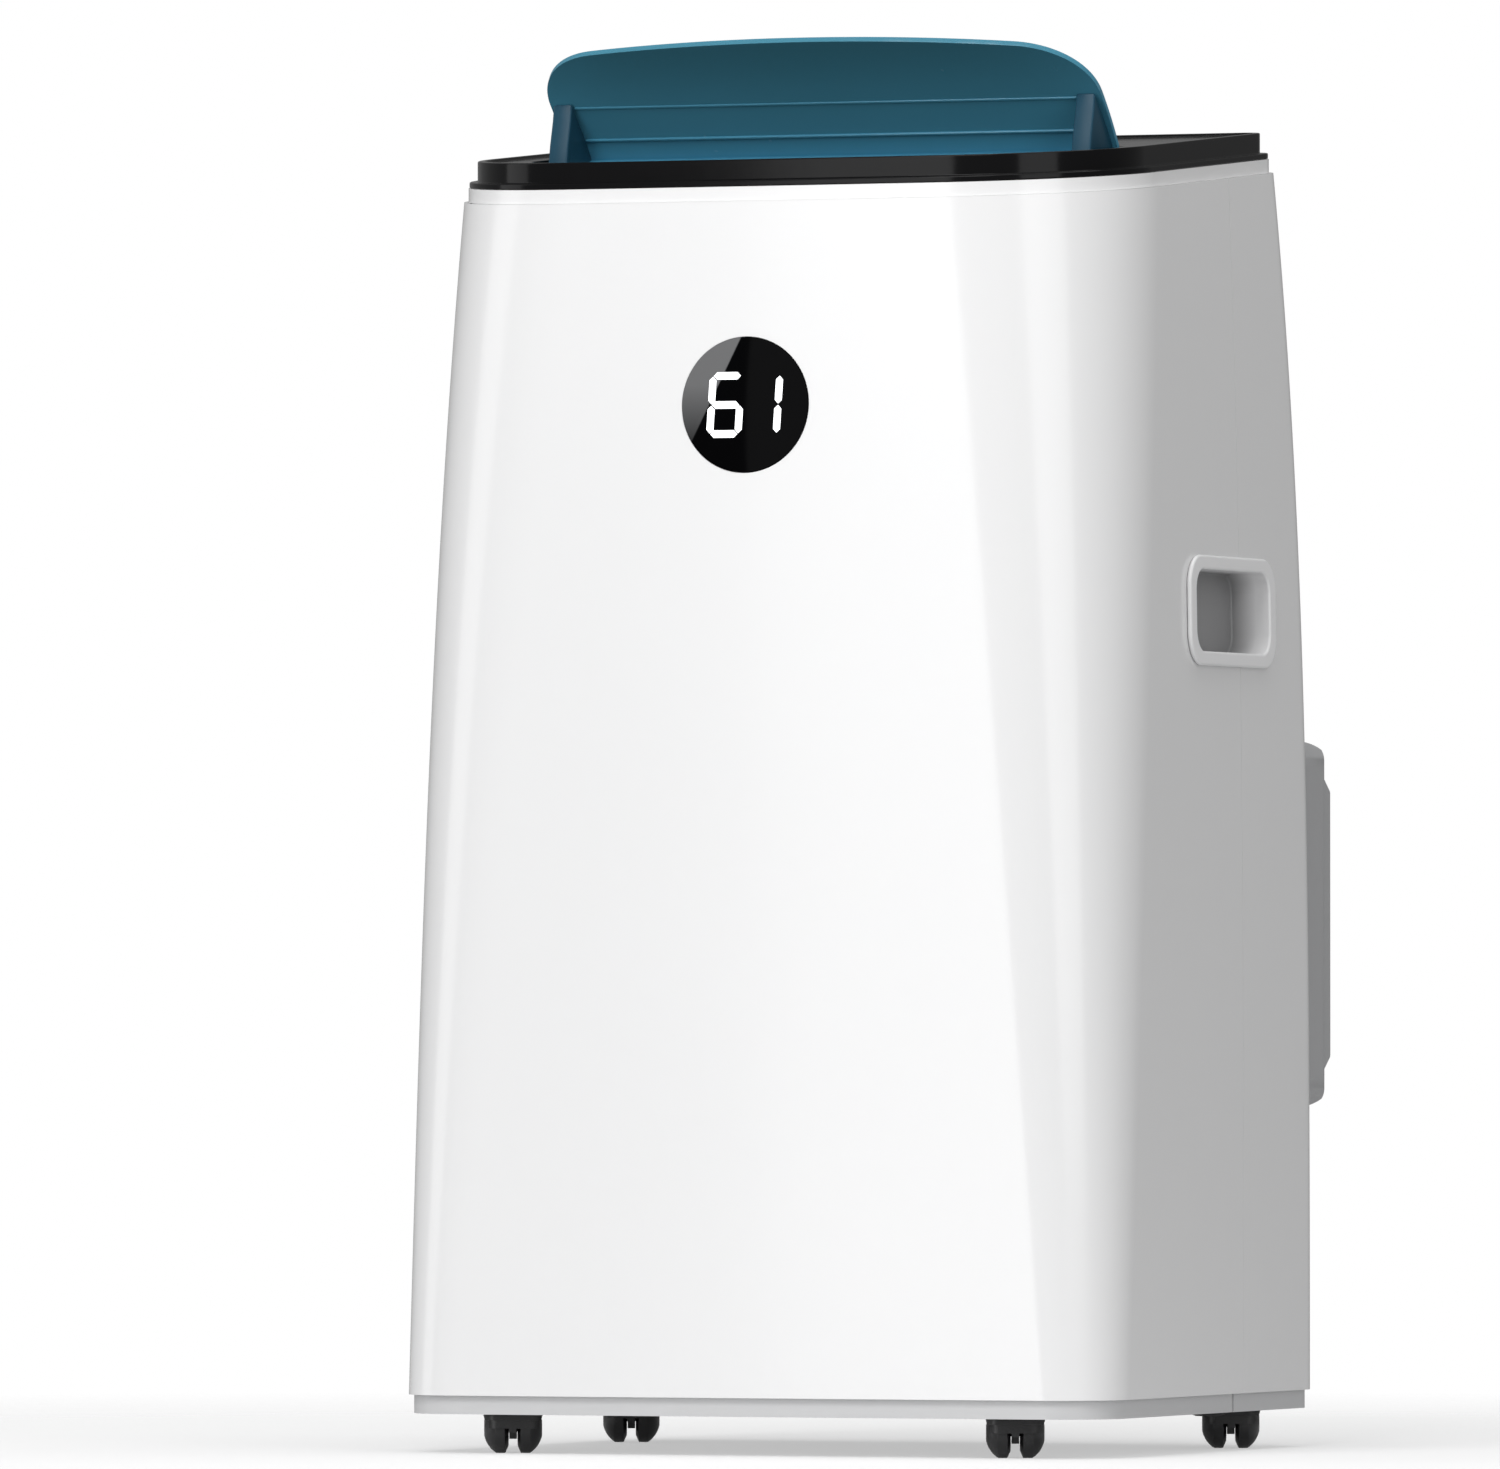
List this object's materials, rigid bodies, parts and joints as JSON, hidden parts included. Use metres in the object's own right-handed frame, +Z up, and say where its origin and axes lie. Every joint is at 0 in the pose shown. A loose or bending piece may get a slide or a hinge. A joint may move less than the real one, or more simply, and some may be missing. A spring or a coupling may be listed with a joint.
{
  "type": "portable air conditioner",
  "caption": "Tall white tapered portable air conditioner on casters, with a black top cover, an open outlet flap, side hand holds and a round display.",
  "frame": {"origin": "centre of the footprint on the floor, under the middle of the overall box", "axes": "+Z up, front and display face -Y, hose connection at +Y, +X to the right seen from the front"},
  "size_m": [0.4324, 0.402, 0.7949],
  "materials": {
    "shell_white": "gloss",
    "trim_white": "satin",
    "base_grey": "satin",
    "cover_black": "piano gloss",
    "panel_black": "satin",
    "display_light": "lit",
    "flap_teal": "gloss",
    "duct_black": "matte",
    "motor_steel": "galvanised",
    "fin_aluminium": "mill",
    "foam_grey": "matte",
    "compressor_black": "satin",
    "rubber_black": "matte",
    "pipe_copper": "drawn copper",
    "board_green": "satin",
    "screw_steel": "plated",
    "filter_mesh": "mesh",
    "button_grey": "satin",
    "caster_black": "satin",
    "wheel_black": "satin"
  },
  "bodies": {
    "cabinet": {"front_shell": "shell_white", "rear_shell": "shell_white", "top_collar": "trim_white", "top_cover": "cover_black", "base_pan": "base_grey", "base_pads": "rubber_black", "handle_left": "trim_white", "handle_right": "trim_white", "display_window": "cover_black", "display_digits": "display_light", "display_board": "board_green", "control_panel": "panel_black", "control_board": "board_green", "hose_housing": "trim_white", "hose_spigot": "trim_white", "outlet_duct": "duct_black", "vane_rail": "duct_black", "vane_motor": "motor_steel", "flap_bracket": "duct_black", "flap_motor": "motor_steel", "evaporator_coil": "fin_aluminium", "drip_tray": "foam_grey", "upper_scroll": "foam_grey", "upper_motor": "motor_steel", "condenser_coil": "fin_aluminium", "lower_scroll": "foam_grey", "lower_motor": "motor_steel", "compressor": "compressor_black", "compressor_mounts": "rubber_black", "refrigerant_pipes": "pipe_copper", "control_box": "motor_steel", "slinger_motor": "motor_steel", "cord_gland": "rubber_black", "casing_screws": "screw_steel"},
    "flap": {"flap": "flap_teal", "flap_pins": "screw_steel"},
    "vane_1": {"vane_1": "duct_black"},
    "vane_2": {"vane_2": "duct_black"},
    "vane_3": {"vane_3": "duct_black"},
    "vane_4": {"vane_4": "duct_black"},
    "vane_5": {"vane_5": "duct_black"},
    "vane_link": {"vane_link": "duct_black"},
    "upper_fan": {"upper_impeller": "duct_black"},
    "lower_fan": {"lower_impeller": "duct_black"},
    "slinger": {"slinger_wheel": "trim_white"},
    "filter_tray": {"filter_grille": "trim_white", "filter_screen": "filter_mesh"},
    "button_power": {"button_power": "button_grey"},
    "button_mode": {"button_mode": "button_grey"},
    "button_down": {"button_down": "button_grey"},
    "button_up": {"button_up": "button_grey"},
    "drain_cap": {"drain_cap": "rubber_black"},
    "caster_front_left": {"caster_front_left": "caster_black"},
    "wheels_front_left": {"wheels_front_left": "wheel_black"},
    "caster_front_right": {"caster_front_right": "caster_black"},
    "wheels_front_right": {"wheels_front_right": "wheel_black"},
    "caster_rear_left": {"caster_rear_left": "caster_black"},
    "wheels_rear_left": {"wheels_rear_left": "wheel_black"},
    "caster_rear_right": {"caster_rear_right": "caster_black"},
    "wheels_rear_right": {"wheels_rear_right": "wheel_black"}
  },
  "joints": [
    {"name": "flap_hinge", "type": "hinge", "parent": "cabinet", "child": "flap", "pos_m": [0, -0.0485, 0.72597], "axis": [1, 0, 0], "range_deg": [-12, 45.5]},
    {"name": "vane_1_swing", "type": "hinge", "parent": "cabinet", "child": "vane_1", "pos_m": [-0.108, -0.10175, 0.69], "axis": [0, 0, 1], "range_deg": [-30, 30]},
    {"name": "vane_2_swing", "type": "hinge", "parent": "cabinet", "child": "vane_2", "pos_m": [-0.054, -0.10175, 0.69], "axis": [0, 0, 1], "range_deg": [-30, 30]},
    {"name": "vane_3_swing", "type": "hinge", "parent": "cabinet", "child": "vane_3", "pos_m": [0, -0.10175, 0.69], "axis": [0, 0, 1], "range_deg": [-30, 30]},
    {"name": "vane_4_swing", "type": "hinge", "parent": "cabinet", "child": "vane_4", "pos_m": [0.054, -0.10175, 0.69], "axis": [0, 0, 1], "range_deg": [-30, 30]},
    {"name": "vane_5_swing", "type": "hinge", "parent": "cabinet", "child": "vane_5", "pos_m": [0.108, -0.10175, 0.69], "axis": [0, 0, 1], "range_deg": [-30, 30]},
    {"name": "vane_link_slide", "type": "slide", "parent": "cabinet", "child": "vane_link", "axis": [1, 0, 0], "range_m": [-0.0063, 0.0063]},
    {"name": "upper_fan_spin", "type": "hinge", "parent": "cabinet", "child": "upper_fan", "pos_m": [0.01, -0.101, 0.532], "axis": [0, 1, 0], "continuous": true},
    {"name": "lower_fan_spin", "type": "hinge", "parent": "cabinet", "child": "lower_fan", "pos_m": [0.11, -0.053, 0.249], "axis": [1, 0, 0], "continuous": true},
    {"name": "slinger_spin", "type": "hinge", "parent": "cabinet", "child": "slinger", "pos_m": [-0.037, 0.065, 0.092], "axis": [0, 1, 0], "continuous": true},
    {"name": "filter_slide", "type": "slide", "parent": "cabinet", "child": "filter_tray", "axis": [0, 0.9959, 0.0901], "range_m": [0, 0.03]},
    {"name": "press_power", "type": "slide", "parent": "cabinet", "child": "button_power", "axis": [0, 0.0863, -0.9963], "range_m": [0, 0.0012], "stiffness_N_per_m": 300, "springref_m": -0.001},
    {"name": "press_mode", "type": "slide", "parent": "cabinet", "child": "button_mode", "axis": [0, 0.0863, -0.9963], "range_m": [0, 0.0012], "stiffness_N_per_m": 300, "springref_m": -0.001},
    {"name": "press_down", "type": "slide", "parent": "cabinet", "child": "button_down", "axis": [0, 0.0863, -0.9963], "range_m": [0, 0.0012], "stiffness_N_per_m": 300, "springref_m": -0.001},
    {"name": "press_up", "type": "slide", "parent": "cabinet", "child": "button_up", "axis": [0, 0.0863, -0.9963], "range_m": [0, 0.0012], "stiffness_N_per_m": 300, "springref_m": -0.001},
    {"name": "drain_cap_pull", "type": "slide", "parent": "cabinet", "child": "drain_cap", "axis": [0, 1, 0], "range_m": [0, 0.02]},
    {"name": "swivel_front_left", "type": "hinge", "parent": "cabinet", "child": "caster_front_left", "pos_m": [-0.151, -0.168, 0.03], "axis": [0, 0, 1], "continuous": true},
    {"name": "roll_front_left", "type": "hinge", "parent": "caster_front_left", "child": "wheels_front_left", "pos_m": [-0.14953, -0.17172, 0.014], "axis": [0.9298, 0.3681, 0], "continuous": true},
    {"name": "swivel_front_right", "type": "hinge", "parent": "cabinet", "child": "caster_front_right", "pos_m": [0.151, -0.168, 0.03], "axis": [0, 0, 1], "continuous": true},
    {"name": "roll_front_right", "type": "hinge", "parent": "caster_front_right", "child": "wheels_front_right", "pos_m": [0.15247, -0.17172, 0.014], "axis": [0.9298, 0.3681, 0], "continuous": true},
    {"name": "swivel_rear_left", "type": "hinge", "parent": "cabinet", "child": "caster_rear_left", "pos_m": [-0.184, 0.087, 0.03], "axis": [0, 0, 1], "continuous": true},
    {"name": "roll_rear_left", "type": "hinge", "parent": "caster_rear_left", "child": "wheels_rear_left", "pos_m": [-0.18253, 0.08328, 0.014], "axis": [0.9298, 0.3681, 0], "continuous": true},
    {"name": "swivel_rear_right", "type": "hinge", "parent": "cabinet", "child": "caster_rear_right", "pos_m": [0.184, 0.087, 0.03], "axis": [0, 0, 1], "continuous": true},
    {"name": "roll_rear_right", "type": "hinge", "parent": "caster_rear_right", "child": "wheels_rear_right", "pos_m": [0.18547, 0.08328, 0.014], "axis": [0.9298, 0.3681, 0], "continuous": true}
  ],
  "couplings": [
    {"joint": "vane_2_swing", "follows": "vane_1_swing", "ratio": 1},
    {"joint": "vane_3_swing", "follows": "vane_1_swing", "ratio": 1},
    {"joint": "vane_4_swing", "follows": "vane_1_swing", "ratio": 1},
    {"joint": "vane_5_swing", "follows": "vane_1_swing", "ratio": 1},
    {"joint": "vane_link_slide", "follows": "vane_1_swing", "m_per_rad": -0.012}
  ]
}
